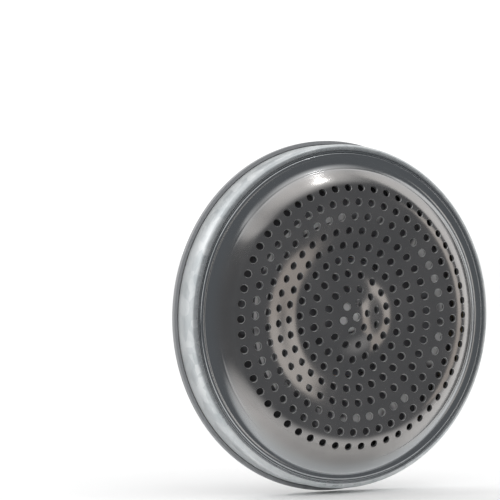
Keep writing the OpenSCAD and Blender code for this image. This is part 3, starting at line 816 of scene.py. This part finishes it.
winding = {"pitch": 0.2}
copper = Finish("copper", metal=1.0)
_, y, _ = copper.axes()
turns = y.work("SINE", y * (2 * math.pi / winding["pitch"]))
tarnish = copper.noise(0.8, 4.0, 0.6)
copper.put("color", copper.mix((0.5, 0.2, 0.09), (0.82, 0.43, 0.24), tarnish))
copper.put("rough", 0.22 + tarnish * 0.16)
copper.put("normal", copper.bump(turns, 0.03))

pick(frame["nodes"]["coil_leads"])
bpy.ops.object.duplicate()
leadWires = bpy.context.object
leadWires.name = "leadWires"
bpy.ops.object.parent_clear(type="CLEAR_KEEP_TRANSFORM")
bpy.ops.object.transform_apply(location=True, rotation=True, scale=True)
leadWires.data.materials.clear()
leadWires.data.materials.append(copper.material)
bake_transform(leadWires)
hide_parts("coil_leads")

for node, finish in {
    "cap_gasket": foam, "clamp_ring": clampLaminate, "surround_glue": clearGlue, "coil_former": formerFilm,
    "voice_coil": copper, "top_plate": plateZinc, "magnet": nickel,
    "magnet_glue": clearGlue, "yoke_glue": darkGlue, "board_tape": tapeFinish, "solder_pads": padTin,
}.items():
    for slot in frame["nodes"][node].material_slots:
        slot.material = finish.material
print("inner finishes set")


stage = {"floorSize": 6.0, "floorDrop": 0.0002, "cardR": 0.8, "cardTop": 0.67,
         "roofR": 0.2, "roofTop": 0.76, "start": -75, "sweep": 157,
         "sheetIn": 0.05, "sheetLift": 0.003, "tableEdge": 0.013, "tableLift": 0.0012}
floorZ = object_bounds()[0].z - stage["floorDrop"]
pick()
bpy.ops.mesh.primitive_plane_add(size=stage["floorSize"], location=(0, 0, floorZ))
floor = bpy.context.object
floor.name = "floor"
paleFloor = Finish("paleFloor", specular=0.2)
paleFloor.put("color", paleFloor.mix((0.9, 0.9, 0.9), (0.93, 0.93, 0.93), paleFloor.noise(60.0, 2.0)))
paleFloor.put("rough", 0.8 + paleFloor.noise(25.0) * 0.1)
floor.data.materials.append(paleFloor.material)

unlit = {"color": (0.0, 0.0, 0.0), "rough": 0.9, "specular": 0.0, "glowPower": 1.0}
darkCard = Finish("darkCard", **unlit)
x, y, z = darkCard.axes()
outward = (x * x + y * y) ** 0.5
cardLight = z.ramp(600.0, 680.0) * (1 - outward.ramp(260.0, 700.0))
sideLight = z.ramp(660.0, 680.0) * (1 - x.ramp(-450.0, -50.0)) * 0.8
nearLight = (1 - z.ramp(-20.0, -10.0)) * (1 - (-y).ramp(14.0, 32.0)) * 0.7
darkCard.put("glow", darkCard.mix((0.165, 0.172, 0.182), (1.1, 1.1, 1.1),
                                  cardLight.work("MAXIMUM", cardLight, sideLight) + nearLight))
warmCard = Finish("warmCard", **unlit)
warmCard.put("glow", warmCard.mix((0.6, 0.56, 0.53), (0.75, 0.7, 0.66), warmCard.noise(300.0)))


def reflected(flag, name, finish):  # a card that only reflections see
    flag.name = name
    flag.data.materials.append(finish.material)
    flag.visible_camera = flag.visible_diffuse = flag.visible_shadow = False


def card(name, inner, outer, start, sweep, finish=darkCard):  # a bent card between two radii and heights
    pick()
    bpy.ops.mesh.primitive_plane_add(size=0.001)
    bpy.ops.object.mode_set(mode="EDIT")
    bpy.ops.mesh.merge(type="CENTER")
    bpy.ops.transform.translate(value=(inner[0], 0, inner[1]))
    across = (outer[0] - inner[0], 0, outer[1] - inner[1])
    bpy.ops.mesh.extrude_vertices_move(TRANSFORM_OT_translate={"value": across})
    bpy.ops.mesh.select_all(action="SELECT")
    bpy.ops.transform.rotate(value=-math.radians(start - 90), orient_axis="Z", center_override=(0, 0, 0))
    bpy.ops.mesh.spin(steps=24, angle=-math.radians(sweep), center=(0, 0, 0), axis=(0, 0, 1))
    bpy.ops.object.mode_set(mode="OBJECT")
    reflected(bpy.context.object, name, finish)


cardR, sheetZ = stage["cardR"], floorZ + stage["sheetLift"]
roofEdge = (cardR, stage["cardTop"])
card("frontCard", (cardR, floorZ), roofEdge, stage["start"], stage["sweep"])
card("sheetCard", (stage["sheetIn"], sheetZ), (cardR, sheetZ), 49, 17, warmCard)
card("roofCard", roofEdge, (stage["roofR"], stage["roofTop"]), stage["start"], stage["sweep"])
pick()
bpy.ops.mesh.primitive_plane_add(size=2 * cardR, location=(0, -cardR - stage["tableEdge"],
                                                           floorZ + stage["tableLift"]))
bpy.ops.object.transform_apply(location=True)
reflected(bpy.context.object, "edgeCard", darkCard)


def softbox(name, place, size, radiance, color=(1, 1, 1)):  # aimed at the object
    lamp = bpy.data.lights.new(name, "AREA")
    lamp.shape, lamp.size, lamp.size_y = "RECTANGLE", size[0], size[1]
    lamp.energy = radiance * math.pi * size[0] * size[1]
    lamp.color = color
    holder = bpy.data.objects.new(name, lamp)
    holder.location = place
    holder.rotation_euler = (-Vector(place)).to_track_quat("-Z", "Y").to_euler()
    bpy.context.scene.collection.objects.link(holder)
    holder.visible_camera = False


softbox("topBox", (0.16, -0.19, 0.58), (0.05, 0.05), 12.0)
softbox("sideBox", (0.63, -0.4, 0.0), (0.22, 0.55), 0.75, (1.0, 0.94, 0.88))
softbox("rearBox", (-0.3, 0.5, 0.35), (0.4, 0.3), 0.9)

world = bpy.data.worlds.new("studio")
bpy.context.scene.world = world
world.use_nodes = True
world.node_tree.nodes["Background"].inputs["Color"].default_value = (1, 1, 1, 1)
world.node_tree.nodes["Background"].inputs["Strength"].default_value = 1.12

bpy.context.scene.view_settings.view_transform = "Standard"

view = {"place": (-0.1904, -0.3199, 0.0124), "ahead": (0.4849, 0.8745, -0.0081), "lens": 187.2}
lens = bpy.data.cameras.new("camera")
lens.lens, lens.sensor_width, lens.clip_start = view["lens"], 36, 0.01
camera = bpy.data.objects.new("camera", lens)
camera.location = view["place"]
camera.rotation_euler = Vector(view["ahead"]).to_track_quat("-Z", "Y").to_euler()
bpy.context.scene.collection.objects.link(camera)
bpy.context.scene.camera = camera
print("stage set")

pick()
